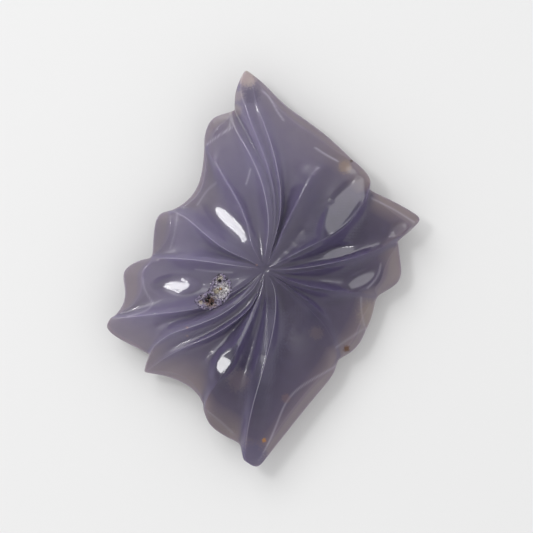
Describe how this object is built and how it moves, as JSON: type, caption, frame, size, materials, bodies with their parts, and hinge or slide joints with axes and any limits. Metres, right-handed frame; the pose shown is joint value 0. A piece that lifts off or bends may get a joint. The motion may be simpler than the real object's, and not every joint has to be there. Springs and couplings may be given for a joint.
{
  "type": "carved blue chalcedony",
  "caption": "Translucent blue chalcedony carved and polished as a swirling blossom of hollow petals, with a flat back and a small druzy hollow.",
  "frame": {"origin": "middle of the outline, on the flat back", "axes": "+Z out of the carved front, +Y along the long way towards the north tip, +X to the right as seen from the front"},
  "size_m": [0.0508, 0.064, 0.009],
  "materials": {
    "chalcedony": "polished, translucent, lighter and warmer where it is thin",
    "druse": "fine sparkling quartz crystals"
  },
  "bodies": {
    "root": {"carved_stone": "chalcedony", "druzy_crust": "druse"}
  },
  "joints": []
}
